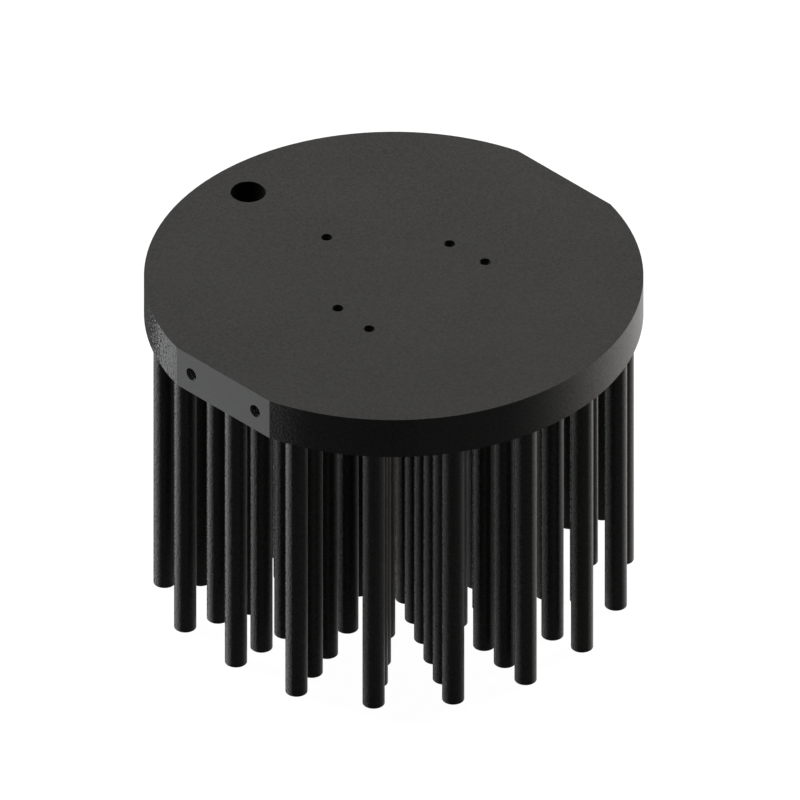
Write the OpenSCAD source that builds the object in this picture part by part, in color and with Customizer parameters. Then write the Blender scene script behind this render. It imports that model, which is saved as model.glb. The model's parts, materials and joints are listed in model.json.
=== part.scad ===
// Round pin fin heat sink for an LED module, cold forged in one piece.
// A thick disc with two flats on its rim carries straight round pins, set on
// radial spokes. It stands on its pin ends with the disc's flat face up.
// Origin: centre of the footprint, in the plane of the pin ends. +Z is up.
// +X runs along the flats, away from the wire hole. The front flat faces -Y.

/* [Base] */
// Diameter of the base disc
base_d = 86; // [80:0.5:110]
// Thickness of the base disc
base_t = 7.8; // [4:0.1:14]
// Distance between the two flats on the rim
across_flats = 83; // [79:0.5:110]
// Height of the whole heat sink, from the pin ends to the LED face
total_h = 62; // [30:1:120]

/* [Pins] */
// Diameter of a pin
pin_d = 3.85; // [2.5:0.05:4.4]
// Distance from one ring of pins to the next along a spoke
ring_pitch = 6.21; // [5.2:0.01:6.4]
// Metal between the outermost pins and the round rim
rim_margin = 1.5; // [0.5:0.1:3]
// Metal between the outermost pins and a flat
flat_margin = 1.2; // [0.5:0.1:3]
// Number of long spokes, which carry a pin on every ring
long_spokes = 6; // [2:4:10]
// Number of short spokes between two long ones
short_between = 2; // [0:2:2]
// Number of outer rings that a short spoke shares with the long ones
short_rings = 3; // [1:1:3]
// Distance from the centre to the innermost pin of a short spoke
short_inner_r = 18.85; // [17:0.05:20]

/* [Wire hole] */
// Diameter of the hole that the LED wires pass through
wire_d = 6.2; // [3:0.1:6.5]
// Metal between the wire hole and the round rim
wire_margin = 4.5; // [2:0.1:6]

/* [Screw holes] */
// Diameter of the screw holes in the LED face
screw_d = 2; // [1.2:0.1:3.4]
// Metal left under the screw holes in the LED face
screw_floor = 1.5; // [0.5:0.1:3]
// Diameter of the circle through the three screw holes
trio_pcd = 32.6; // [24:0.1:50]
// Distance between the two screw holes of the pair
pair_spacing = 27.2; // [12:0.1:50]
// Diameter of the two screw holes in the front flat
side_d = 2.4; // [1.2:0.1:3.4]
// Distance between the two screw holes in the front flat
side_spacing = 15.5; // [6:0.1:17]
// Depth of the screw holes in the front flat, down to the drill's point
side_depth = 8; // [3:0.5:14]

/* [Hidden] */

round_fn = 180; // facets on the rim
pin_fn = 48; // facets on a pin
hole_fn = 48; // facets on a hole
rings = 6; // rings of pins, counted inwards
point_angle = 118; // point angle of a twist drill
cut = 1; // how far a cutting tool starts outside the metal
fuse = 1; // how far a pin runs up into the base, so that the two are one

base_r = base_d / 2;
base_z = total_h - base_t; // height of the base's underside
spokes = long_spokes * (short_between + 1);
outer_ring_r = base_r - rim_margin - pin_d / 2;
flat_ring_r = across_flats / 2 - flat_margin - pin_d / 2;
// How far the outermost pin of a spoke that ends at a flat is drawn in
flat_pull = max(outer_ring_r - flat_ring_r, 0);
// Share of that pull which each ring of such a spoke takes
pull_share = [1, 1, 2 / 3, 1 / 3, 0, 0];
wire_r = base_r - wire_margin - wire_d / 2;
trio_angles = [180, 60, -60]; // the first screw hole lies towards the wire hole

// Radius of a ring of pins, counted inwards from 0
function ring_r(ring) = outer_ring_r - ring * ring_pitch;

// Direction of a spoke: the first one, and the one opposite, end at a flat
function spoke_angle(spoke) = 90 + spoke * 360 / spokes;
function is_long(spoke) = spoke % (short_between + 1) == 0;
function ends_at_flat(spoke) = spoke == 0 || 2 * spoke == spokes;

// Distances from the centre to the pins of one spoke
function pin_radii(spoke) =
    ends_at_flat(spoke) ? [for (i = [0 : rings - 1]) ring_r(i) - flat_pull * pull_share[i]]
    : is_long(spoke) ? [for (i = [0 : rings - 1]) ring_r(i)]
    : concat([for (i = [0 : short_rings - 1]) ring_r(i)], [short_inner_r]);

// The disc, cut straight on both sides by the flats
module base_disc() {
    translate([0, 0, base_z])
        intersection() {
            cylinder(d = base_d, h = base_t, $fn = round_fn);
            translate([-base_r, -across_flats / 2, 0])
                cube([base_d, across_flats, base_t]);
        }
}

// All pins, from their flat ends up into the base
module pin_field() {
    for (spoke = [0 : spokes - 1], r = pin_radii(spoke))
        rotate([0, 0, spoke_angle(spoke)])
            translate([r, 0, 0])
                cylinder(d = pin_d, h = base_z + fuse, $fn = pin_fn);
}

// A blind drilled hole: its mouth is at the origin and it runs down along -Z.
// The depth counts to the tip of the conical end.
module drilled(d, depth) {
    tip = d / 2 / tan(point_angle / 2);
    translate([0, 0, tip - depth])
        cylinder(d = d, h = depth - tip + cut, $fn = hole_fn);
    translate([0, 0, -depth])
        cylinder(d1 = 0, d2 = d, h = tip, $fn = hole_fn);
}

// Passage for the LED wires, right through the base
module wire_hole() {
    translate([-wire_r, 0, base_z - cut])
        cylinder(d = wire_d, h = base_t + 2 * cut, $fn = hole_fn);
}

// Screw holes for LED holders: three on a circle, and a pair across the centre
module led_screw_holes() {
    depth = base_t - screw_floor;
    for (a = trio_angles)
        rotate([0, 0, a])
            translate([trio_pcd / 2, 0, total_h])
                drilled(screw_d, depth);
    for (side = [-1, 1])
        translate([0, side * pair_spacing / 2, total_h])
            drilled(screw_d, depth);
}

// Screw holes in the front flat, at half the base's thickness
module side_screw_holes() {
    for (side = [-1, 1])
        translate([side * side_spacing / 2, -across_flats / 2, base_z + base_t / 2])
            rotate([90, 0, 0])
                drilled(side_d, side_depth);
}

module heat_sink() {
    color([0.13, 0.13, 0.13])
        difference() {
            union() {
                base_disc();
                pin_field();
            }
            wire_hole();
            led_screw_holes();
            side_screw_holes();
        }
}

heat_sink();
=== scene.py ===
"""Looks of a round pin fin heat sink: a black anodised finish and tapped screw holes.

It stands in a plain white studio. Every length is in metres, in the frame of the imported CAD
model: +Z up, the pin ends at z = 0.
"""

import json
import math

import bmesh
import bpy
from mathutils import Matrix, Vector


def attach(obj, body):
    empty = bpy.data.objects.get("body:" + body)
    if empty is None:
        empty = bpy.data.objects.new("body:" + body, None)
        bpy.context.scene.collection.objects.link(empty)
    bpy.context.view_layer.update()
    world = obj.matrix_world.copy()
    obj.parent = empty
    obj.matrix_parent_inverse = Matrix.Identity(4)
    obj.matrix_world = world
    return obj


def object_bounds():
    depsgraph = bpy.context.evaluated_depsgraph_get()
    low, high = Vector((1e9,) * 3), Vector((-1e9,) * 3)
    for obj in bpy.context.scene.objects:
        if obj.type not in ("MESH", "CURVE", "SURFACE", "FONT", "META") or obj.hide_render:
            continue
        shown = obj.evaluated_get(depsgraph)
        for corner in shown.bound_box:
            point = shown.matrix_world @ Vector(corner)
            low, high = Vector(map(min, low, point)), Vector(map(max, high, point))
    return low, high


MM = 0.001
BODY = "root"
NODE = "heat_sink"
SLOT = "black_anodised"

# Threads in the screw holes. The drilled wall is the thread's mean diameter.
FACE_THREAD = {"pitch": 0.40 * MM, "depth": 0.11 * MM, "length": 4.8 * MM}
SIDE_THREAD = {"pitch": 0.45 * MM, "depth": 0.12 * MM, "length": 6.4 * MM}
THREAD_LEAD_IN = 0.25 * MM  # plain wall between the face and the first turn
THREAD_STEPS = 24  # points on a turn
THREAD_RUN_OUT = 0.5  # turns over which a ridge rises and fades
THREAD_SINK = 0.02 * MM  # how far a ridge's foot reaches into the metal
THREAD_FOOT = 0.40  # half the width of a ridge's foot, as a share of the pitch
THREAD_CREST = 0.08  # half the width of its crest, as a share of the pitch

# Finish
FACE_MARGIN = 0.01 * MM  # what lies this near to a milled face belongs to it
# painted shade: a hole's wall is coloured nearly black from this far inside a face
HOLE_MARGIN = 0.1 * MM  # how far inside a face a hole's wall turns black
NOISE_SPAN = (0.3, 0.7)  # where most of a noise's values lie
GRAIN_SIZE = 0.42 * MM
PIT_SIZE = 0.36 * MM
PIT_BLUR = 0.04  # how soft a pit's edge is, in values of its noise
PATCH_SIZE = 14 * MM  # patches of smoother and rougher dye
DIE_LINE_WIDTH = 0.30 * MM
DIE_LINE_STRETCH = 0.02  # how much slower the lines change along a pin than across it
DIE_LINE_DEPTH = 0.006 * MM
MILLED_GRAIN_DEPTH = 0.010 * MM
SPECULAR_LEVEL = 0.045
ROUGHNESS = (0.36, 0.44)
PIT_ROUGHNESS = 0.9

# Tints of the record's colour
GRAIN_TINTS = (0.70, 1.30)
# painted light: the flats are coloured lighter, standing in for the side light that falls on them
FLAT_PAINTED_LIGHT_TINTS = (1.20, 1.40)
# painted shade: the pits are coloured near black, standing in for the grain's tiny shadows
PIT_PAINTED_SHADE_TINT = 0.08
# painted shade: walls that face away from the camera are coloured darker
AWAY_PAINTED_SHADE_TINT = 0.25
# painted shade: the walls of the holes are coloured nearly black
HOLE_PAINTED_SHADE_TINT = 0.02

# The grain and its pits follow the photo: they are strongest on walls that face the side given
# below.
# The pits' near-black colour is painted shade, standing in for the grain's tiny shadows.
# Points are (how far a wall faces the side, result).
GRAIN_AND_PIT_SHADE_SIDE = (-0.7071, -0.7071, 0.0)
GRAIN_DEPTHS = ((-0.5, 0.015 * MM), (0.2, 0.12 * MM), (1.0, 0.20 * MM))
PIT_LEVELS = ((0.85, 0.24), (0.93, 0.42), (1.0, 0.74))
# Walls that face the side below, straight away from the camera, get painted shade: a darker
# colour that offsets the strong side lamps. It isn't a trait of the real part.
AWAY_PAINTED_SHADE_SIDE = (-0.7071, 0.7071, 0.0)
AWAY_PAINTED_SHADE_SHARES = ((0.05, 0.0), (0.25, 0.6), (0.5, 1.0))

# Camera
VIEW_BACK = Vector((1, -1, 1)).normalized()  # from the object to the camera: isometric
VIEW_WIDTH = 137.67 * MM
VIEW_SHIFT = Vector((9.49, -7.95, 44.56)) * MM  # the point that lies in the picture's middle
VIEW_DISTANCE = 0.6
VIEW_CLIP = (0.01, 10.0)

# Studio
FLOOR_SIDE = 8.0
FLOOR_DROP = 0.05 * MM  # keeps the floor out of the plane of the pin ends
FLOOR_GLOW = 0.96
FLOOR_COLOUR = (0.08, 0.08, 0.08, 1.0)
WHITE = (1.0, 1.0, 1.0, 1.0)

# Lamps. Azimuth runs from +X towards +Y, in degrees.
BACK_BOX = {
    "azimuth": 135, "elevation": 35, "distance": 0.9,
    "width": 0.4, "height": 0.3, "colour": (1.0, 0.97, 0.93),
}
LEFT_BOX = {
    "azimuth": -157, "elevation": 6, "distance": 0.8,
    "width": 0.16, "height": 0.12, "colour": (0.94, 0.97, 1.0),
}
RIGHT_BOX = {
    "azimuth": 85, "elevation": 6, "distance": 0.8,
    "width": 0.5, "height": 0.12, "colour": (1.0, 0.98, 0.95),
}
# Name, box, power in watts, and whether the lamp casts shadows
LAMPS = (
    ("back_light", BACK_BOX, 0.85, True),
    ("left_light", LEFT_BOX, 17.0, True),
    ("left_fill", LEFT_BOX, 9.0, False),
    ("right_light", RIGHT_BOX, 26.0, True),
    ("right_fill", RIGHT_BOX, 7.0, False),
)


def new_nodes(name):
    """A new node material, and its node tree with nothing but an output in it."""
    material = bpy.data.materials.new(name)
    material.use_nodes = True
    tree = material.node_tree
    tree.nodes.clear()
    output = tree.nodes.new("ShaderNodeOutputMaterial")
    return material, tree, output


def add(tree, kind, values=None, **settings):
    """A node of this kind with its settings. Its sockets take values or links to other sockets."""
    node = tree.nodes.new(kind)
    for name, value in settings.items():
        setattr(node, name, value)
    for name, value in (values or {}).items():
        if isinstance(value, bpy.types.NodeSocket):
            tree.links.new(value, node.inputs[name])
        else:
            node.inputs[name].default_value = value
    return node


def noise(tree, place, size, detail=2.0, roughness=0.5):
    """Noise whose features are about this size, as a value socket."""
    values = {"Vector": place, "Scale": 1 / size, "Detail": detail, "Roughness": roughness}
    return add(tree, "ShaderNodeTexNoise", values).outputs["Fac"]


def spread(tree, value, low, high):
    """A noise's values, spread over low to high."""
    values = {"Value": value, "From Min": NOISE_SPAN[0], "From Max": NOISE_SPAN[1]}
    values |= {"To Min": low, "To Max": high}
    return add(tree, "ShaderNodeMapRange", values, clamp=True).outputs["Result"]


def tint(colour, factor):
    """A colour made lighter or darker."""
    return (*(c * factor for c in colour[:3]), 1.0)


def above(tree, value, limit):
    """1 where the value is over the limit, and 0 elsewhere."""
    return add(tree, "ShaderNodeMath", {0: value, 1: limit}, operation="GREATER_THAN").outputs[0]


def facing(tree, normal, side):
    """How far a wall faces a side: 1 straight towards it, -1 straight away."""
    dot = add(tree, "ShaderNodeVectorMath", {0: normal, 1: side}, operation="DOT_PRODUCT")
    return dot.outputs["Value"]


def product(tree, one, other):
    """Two values multiplied."""
    return add(tree, "ShaderNodeMath", {0: one, 1: other}, operation="MULTIPLY").outputs[0]


def blend_values(tree, share, low, high):
    """low where share is 0 and high where it is 1."""
    values = {"Value": share, "To Min": low, "To Max": high}
    return add(tree, "ShaderNodeMapRange", values).outputs["Result"]


def blend_colours(tree, share, low, high):
    """The first colour where share is 0 and the second where it is 1."""
    mix = add(tree, "ShaderNodeMix", data_type="RGBA")
    tree.links.new(share, mix.inputs["Factor"])
    for socket, colour in zip([s for s in mix.inputs if s.type == "RGBA"], (low, high)):
        if isinstance(colour, bpy.types.NodeSocket):
            tree.links.new(colour, socket)
        else:
            socket.default_value = colour
    return next(s for s in mix.outputs if s.type == "RGBA")


def through_points(tree, value, points):
    """Straight lines through three points (value, result), and level beyond them."""
    (first, low), (second, halfway), (third, high) = points
    values = {"Value": value, "From Min": first, "From Max": second}
    values |= {"To Min": low, "To Max": halfway}
    lower = add(tree, "ShaderNodeMapRange", values, clamp=True).outputs["Result"]
    values = {"Value": value, "From Min": second, "From Max": third}
    values |= {"To Min": 0.0, "To Max": high - halfway}
    upper = add(tree, "ShaderNodeMapRange", values, clamp=True).outputs["Result"]
    return add(tree, "ShaderNodeMath", {0: lower, 1: upper}, operation="ADD").outputs[0]


def black_anodised(colour, top, underside, flat):
    """Black dyed aluminium. The LED face and the flats are milled smooth before the dye.

    The rim and the pins keep a coarse blasted grain, with near-black pits that are painted shade,
    strongest on one side. The pins also have faint lengthwise lines from the die. The flats are
    painted lighter, as painted light, and walls that face away from the camera get painted shade.
    The walls of the holes are painted nearly black, as painted shade.
    """
    material, tree, output = new_nodes("black_anodised")
    coordinates = add(tree, "ShaderNodeTexCoord")
    place = coordinates.outputs["Object"]
    normal = coordinates.outputs["Normal"]

    # Regions of the part
    # how far a wall faces the side where the grain is deepest and the pits' painted shade is
    # strongest
    facing_grain_and_pit_shade_side = facing(tree, normal, GRAIN_AND_PIT_SHADE_SIDE)
    # where the painted shade on walls facing away from the camera lies
    away_painted_shade = through_points(tree, facing(tree, normal, AWAY_PAINTED_SHADE_SIDE), AWAY_PAINTED_SHADE_SHARES)
    split = add(tree, "ShaderNodeSeparateXYZ", {"Vector": place})
    height = split.outputs["Z"]
    sideways = add(tree, "ShaderNodeMath", {0: split.outputs["Y"]}, operation="ABSOLUTE").outputs[0]
    on_flat = above(tree, sideways, flat - FACE_MARGIN)
    on_top = above(tree, height, top - FACE_MARGIN)
    milled = add(tree, "ShaderNodeMath", {0: on_flat, 1: on_top}, operation="MAXIMUM").outputs[0]
    on_pins = blend_values(tree, above(tree, height, underside), 1.0, 0.0)
    level = add(tree, "ShaderNodeCombineXYZ", {"X": split.outputs["X"], "Y": split.outputs["Y"]})
    reach = add(tree, "ShaderNodeVectorMath", {0: level.outputs["Vector"]}, operation="LENGTH")
    # where the painted shade inside the holes lies
    off_rim = blend_values(tree, above(tree, reach.outputs["Value"], flat - HOLE_MARGIN), 1.0, 0.0)
    off_top = blend_values(tree, above(tree, height, top - HOLE_MARGIN), 1.0, 0.0)
    off_underside = above(tree, height, underside + HOLE_MARGIN)
    in_hole_painted_shade = product(tree, product(tree, off_rim, off_top), off_underside)

    # Textures
    grain = noise(tree, place, GRAIN_SIZE, detail=3.0, roughness=0.6)
    patches = noise(tree, place, PATCH_SIZE, detail=3.0)
    drawn = add(tree, "ShaderNodeMapping", {"Vector": place, "Scale": (1, 1, DIE_LINE_STRETCH)})
    lines = noise(tree, drawn.outputs["Vector"], DIE_LINE_WIDTH)
    die_lines = product(tree, lines, on_pins)
    pits = noise(tree, place, PIT_SIZE, detail=1.0)
    pit_level = through_points(tree, facing_grain_and_pit_shade_side, PIT_LEVELS)
    pit_edge = add(tree, "ShaderNodeMath", {0: pit_level, 1: PIT_BLUR}, operation="ADD").outputs[0]
    values = {"Value": pits, "From Min": pit_level, "From Max": pit_edge}
    values |= {"To Min": 0.0, "To Max": 1.0}
    unpitted = add(tree, "ShaderNodeMapRange", values, clamp=True).outputs["Result"]
    whole = add(tree, "ShaderNodeMath", {0: unpitted, 1: milled}, operation="MAXIMUM").outputs[0]

    # The colour is the dye's grain tone with painted light and painted shade laid over it.
    # Colour and roughness
    grain_share = spread(tree, grain, 0.0, 1.0)
    on_walls = blend_colours(tree, grain_share, *(tint(colour, t) for t in GRAIN_TINTS))
    # painted light on the flats: a lighter colour in place of the side light on them
    flats_painted_lighter = blend_colours(tree, grain_share, *(tint(colour, t) for t in FLAT_PAINTED_LIGHT_TINTS))
    dye_and_painted_shading = blend_colours(tree, on_flat, on_walls, flats_painted_lighter)
    # painted shade in the pits
    dye_and_painted_shading = blend_colours(tree, whole, tint(colour, PIT_PAINTED_SHADE_TINT), dye_and_painted_shading)
    # painted shade on the walls that face away from the camera
    dye_and_painted_shading = blend_colours(tree, away_painted_shade, dye_and_painted_shading, tint(colour, AWAY_PAINTED_SHADE_TINT))
    # painted shade inside the holes
    dye_and_painted_shading = blend_colours(tree, in_hole_painted_shade, dye_and_painted_shading, tint(colour, HOLE_PAINTED_SHADE_TINT))
    roughness = blend_values(tree, whole, PIT_ROUGHNESS, spread(tree, patches, *ROUGHNESS))

    # Bumps
    wall_depth = through_points(tree, facing_grain_and_pit_shade_side, GRAIN_DEPTHS)
    grain_depth = blend_values(tree, milled, wall_depth, MILLED_GRAIN_DEPTH)
    values = {"Height": grain, "Strength": 1.0, "Distance": grain_depth}
    blasting = add(tree, "ShaderNodeBump", values).outputs["Normal"]
    values = {"Height": die_lines, "Strength": 1.0, "Distance": DIE_LINE_DEPTH, "Normal": blasting}
    surface = add(tree, "ShaderNodeBump", values).outputs["Normal"]

    shader = add(
        tree,
        "ShaderNodeBsdfPrincipled",
        {
            "Base Color": dye_and_painted_shading,
            "Roughness": roughness,
            "Normal": surface,
            "Metallic": 0.0,
            "Specular IOR Level": SPECULAR_LEVEL,
        },
    )
    tree.links.new(shader.outputs["BSDF"], output.inputs["Surface"])
    return material


def hole_mouths(mount, wire_hole):
    """Centres of a mount's screw holes, at their mouths.

    On a circle the first one lies towards the wire hole.
    """
    centre = Vector(mount["pos_m"])
    dims = mount["dims"]
    if "pcd_mm" in dims:
        ring_r = dims["pcd_mm"] / 2 * MM
        first = math.atan2(wire_hole["pos_m"][1], wire_hole["pos_m"][0])
        turns = [first + i * math.tau / dims["count"] for i in range(dims["count"])]
        return [centre + ring_r * Vector((math.cos(a), math.sin(a), 0)) for a in turns]
    along_x = dims.get("spacing_x_mm", 0) / 2 * MM
    along_y = dims.get("spacing_y_mm", 0) / 2 * MM
    return [centre + side * Vector((along_x, along_y, 0)) for side in (-1, 1)]


def thread(name, mouth, axis, wall_r, pitch, depth, length):
    """The helical ridge of a tapped hole: a V on the hole's wall that fades out at both ends."""
    out = Vector(axis)
    across = out.orthogonal().normalized()
    upwards = out.cross(across)
    foot_r = wall_r + THREAD_SINK
    steps = round(length / pitch * THREAD_STEPS)
    mesh = bmesh.new()
    rings = []
    for step in range(steps + 1):
        turn = step / THREAD_STEPS
        from_end = min(step, steps - step)
        rise = min(1.0, from_end / (THREAD_RUN_OUT * THREAD_STEPS))
        crest_r = wall_r - depth * rise
        radial = across * math.cos(turn * math.tau) + upwards * math.sin(turn * math.tau)
        on_axis = mouth - out * (THREAD_LEAD_IN + turn * pitch)
        profile = [
            (foot_r, THREAD_FOOT),
            (crest_r, THREAD_CREST),
            (crest_r, -THREAD_CREST),
            (foot_r, -THREAD_FOOT),
        ]
        rings.append([mesh.verts.new(on_axis + radial * r + out * (w * pitch)) for r, w in profile])
    for here, there in zip(rings, rings[1:]):
        for i in range(len(here)):
            j = (i + 1) % len(here)
            mesh.faces.new((here[i], here[j], there[j], there[i]))
    mesh.faces.new(rings[0])
    mesh.faces.new(reversed(rings[-1]))
    bmesh.ops.recalc_face_normals(mesh, faces=mesh.faces)
    data = bpy.data.meshes.new(name)
    mesh.to_mesh(data)
    mesh.free()
    piece = bpy.data.objects.new(name, data)
    bpy.context.scene.collection.objects.link(piece)
    return piece


def tap_screw_holes(mounts, material):
    """A thread in every screw hole that the record's bolt patterns give."""
    kinds = {
        "led_screws_trio": FACE_THREAD,
        "led_screws_pair": FACE_THREAD,
        "side_screws": SIDE_THREAD,
    }
    for mount_name, sizes in kinds.items():
        mount = mounts[mount_name]
        wall_r = mount["dims"]["hole_r_mm"] * MM
        for number, mouth in enumerate(hole_mouths(mount, mounts["wire_hole"]), start=1):
            piece = thread(f"{mount_name}_thread_{number}", mouth, mount["axis"], wall_r, **sizes)
            piece.data.materials.append(material)
            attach(piece, BODY)


def seen_directly(tree):
    """1 for camera, glossy and transmission rays, and 0 for those that carry diffuse light."""
    path = add(tree, "ShaderNodeLightPath")
    camera_or_glossy = add(
        tree,
        "ShaderNodeMath",
        {0: path.outputs["Is Camera Ray"], 1: path.outputs["Is Glossy Ray"]},
        operation="MAXIMUM",
    )
    return add(
        tree,
        "ShaderNodeMath",
        {0: camera_or_glossy.outputs[0], 1: path.outputs["Is Transmission Ray"]},
        operation="MAXIMUM",
    ).outputs[0]


def white_world():
    """White where it is seen, also in reflections. It gives no diffuse light."""
    world = bpy.data.worlds.new("studio")
    world.use_nodes = True
    tree = world.node_tree
    tree.nodes.clear()
    output = tree.nodes.new("ShaderNodeOutputWorld")
    seen = seen_directly(tree)
    background = add(tree, "ShaderNodeBackground", {"Color": WHITE, "Strength": seen})
    tree.links.new(background.outputs["Background"], output.inputs["Surface"])
    bpy.context.scene.world = world


def white_floor():
    """A floor that looks white, keeps a faint shadow and throws up little light.

    It is clear from below.
    """
    material, tree, output = new_nodes("floor_white")
    lit = add(tree, "ShaderNodeBsdfDiffuse", {"Color": FLOOR_COLOUR})
    strength = product(tree, seen_directly(tree), FLOOR_GLOW)
    shining = add(tree, "ShaderNodeEmission", {"Color": WHITE, "Strength": strength})
    both = add(tree, "ShaderNodeAddShader")
    tree.links.new(lit.outputs["BSDF"], both.inputs[0])
    tree.links.new(shining.outputs["Emission"], both.inputs[1])
    from_below = add(tree, "ShaderNodeNewGeometry").outputs["Backfacing"]
    one_sided = add(tree, "ShaderNodeMixShader", {"Fac": from_below})
    clear = add(tree, "ShaderNodeBsdfTransparent")
    tree.links.new(both.outputs["Shader"], one_sided.inputs[1])
    tree.links.new(clear.outputs["BSDF"], one_sided.inputs[2])
    tree.links.new(one_sided.outputs["Shader"], output.inputs["Surface"])

    half = FLOOR_SIDE / 2
    z = -FLOOR_DROP
    corners = [(-half, -half, z), (half, -half, z), (half, half, z), (-half, half, z)]
    data = bpy.data.meshes.new("floor")
    data.from_pydata(corners, [], [(0, 1, 2, 3)])
    data.materials.append(material)
    floor = bpy.data.objects.new("floor", data)
    bpy.context.scene.collection.objects.link(floor)


def softbox(name, aim, power, shadows, azimuth, elevation, distance, width, height, colour):
    """A rectangular lamp that faces the object and isn't seen."""
    a, e = math.radians(azimuth), math.radians(elevation)
    away = Vector((math.cos(a) * math.cos(e), math.sin(a) * math.cos(e), math.sin(e)))
    data = bpy.data.lights.new(name, "AREA")
    data.shape = "RECTANGLE"
    data.size = width
    data.size_y = height
    data.energy = power
    data.color = colour
    data.use_shadow = shadows
    light = bpy.data.objects.new(name, data)
    light.location = aim + away * distance
    light.rotation_mode = "QUATERNION"
    light.rotation_quaternion = away.to_track_quat("Z", "Y")
    light.visible_camera = False
    bpy.context.scene.collection.objects.link(light)


def camera():
    """The isometric camera: parallel lines stay parallel."""
    data = bpy.data.cameras.new("camera")
    data.type = "ORTHO"
    data.ortho_scale = VIEW_WIDTH
    data.clip_start, data.clip_end = VIEW_CLIP
    eye = bpy.data.objects.new("camera", data)
    eye.location = VIEW_SHIFT + VIEW_BACK * VIEW_DISTANCE
    eye.rotation_mode = "QUATERNION"
    eye.rotation_quaternion = (-VIEW_BACK).to_track_quat("-Z", "Y")
    bpy.context.scene.collection.objects.link(eye)
    bpy.context.scene.camera = eye


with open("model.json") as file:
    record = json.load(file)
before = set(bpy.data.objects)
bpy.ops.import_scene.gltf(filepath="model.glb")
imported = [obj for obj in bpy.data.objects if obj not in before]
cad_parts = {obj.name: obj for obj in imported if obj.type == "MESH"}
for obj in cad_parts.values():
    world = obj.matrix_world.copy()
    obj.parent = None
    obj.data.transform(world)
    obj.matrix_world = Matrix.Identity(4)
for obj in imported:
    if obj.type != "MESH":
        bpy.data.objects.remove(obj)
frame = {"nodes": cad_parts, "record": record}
cad_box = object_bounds()
record = frame["record"]
mounts = {mount["name"]: mount for mount in record["mounts"]}
wire_hole = mounts["wire_hole"]
underside = wire_hole["pos_m"][2] - wire_hole["dims"]["length_mm"] / 2 * MM
colours = {material["slot"]: material["base_color"] for material in record["materials"]}

camera()
finish = black_anodised(colours[SLOT], cad_box[1].z, underside, cad_box[1].y)
heat_sink = frame["nodes"][NODE]
heat_sink.data.materials.clear()
heat_sink.data.materials.append(finish)
tap_screw_holes(mounts, finish)

white_world()
white_floor()
object_middle = (cad_box[0] + cad_box[1]) / 2
for lamp, box, power, shadows in LAMPS:
    softbox(lamp, object_middle, power, shadows, **box)

bpy.context.scene.view_settings.view_transform = "Standard"
